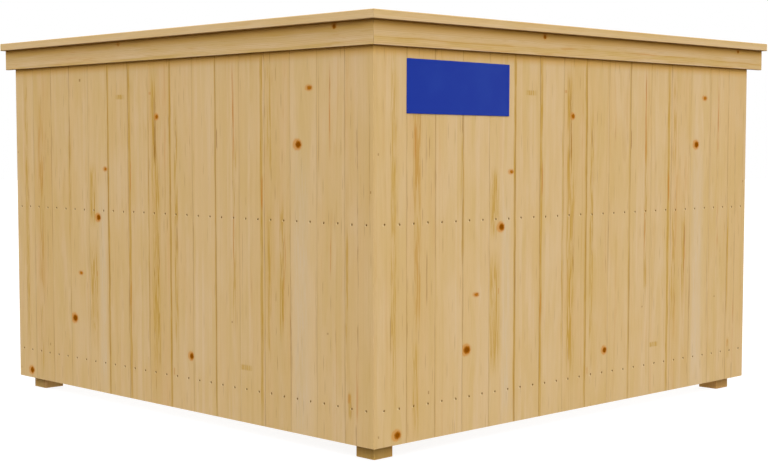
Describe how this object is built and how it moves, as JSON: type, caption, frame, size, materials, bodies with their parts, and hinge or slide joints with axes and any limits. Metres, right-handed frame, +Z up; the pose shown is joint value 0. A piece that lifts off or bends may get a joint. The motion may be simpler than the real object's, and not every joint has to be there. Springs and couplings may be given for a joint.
{
  "type": "cap and trim fence",
  "caption": "Square corner of a solid wooden fence: close-set upright pickets on rails and square posts, finished with a mitred trim board under an overhanging flat cap.",
  "frame": {"origin": "centre of the corner post's foot, on the ground", "axes": "+X along the right panel away from the corner, +Y along the left panel away from the corner, +Z up"},
  "size_m": [2.5972, 2.5399, 1.6336],
  "materials": {
    "picket_pine": "planed pale pine, unsealed, with upright grain and small knots",
    "trim_pine": "planed pale pine, unsealed, grain along the board",
    "cap_pine": "planed pale pine, unsealed, grain along the board",
    "rail_pine": "sawn pale pine, unsealed, grain along the board",
    "post_pine": "sawn pale pine, unsealed, upright grain",
    "nail_steel": "dull galvanised nail heads",
    "sign_blue": "bare satin blue plate"
  },
  "bodies": {
    "root": {"corner_post": "post_pine", "left_bottom_rail": "rail_pine", "left_cap": "cap_pine", "left_end_post": "post_pine", "left_mid_rail": "rail_pine", "left_picket_01": "picket_pine", "left_picket_02": "picket_pine", "left_picket_03": "picket_pine", "left_picket_04": "picket_pine", "left_picket_05": "picket_pine", "left_picket_06": "picket_pine", "left_picket_07": "picket_pine", "left_picket_08": "picket_pine", "left_picket_09": "picket_pine", "left_picket_10": "picket_pine", "left_picket_11": "picket_pine", "left_picket_12": "picket_pine", "left_picket_13": "picket_pine", "left_picket_14": "picket_pine", "left_picket_15": "picket_pine", "left_picket_16": "picket_pine", "left_top_rail": "rail_pine", "left_trim": "trim_pine", "right_bottom_rail": "rail_pine", "right_cap": "cap_pine", "right_end_post": "post_pine", "right_mid_rail": "rail_pine", "right_picket_01": "picket_pine", "right_picket_02": "picket_pine", "right_picket_03": "picket_pine", "right_picket_04": "picket_pine", "right_picket_05": "picket_pine", "right_picket_06": "picket_pine", "right_picket_07": "picket_pine", "right_picket_08": "picket_pine", "right_picket_09": "picket_pine", "right_picket_10": "picket_pine", "right_picket_11": "picket_pine", "right_picket_12": "picket_pine", "right_picket_13": "picket_pine", "right_picket_14": "picket_pine", "right_picket_15": "picket_pine", "right_picket_16": "picket_pine", "right_top_rail": "rail_pine", "right_trim": "trim_pine"}
  },
  "joints": []
}
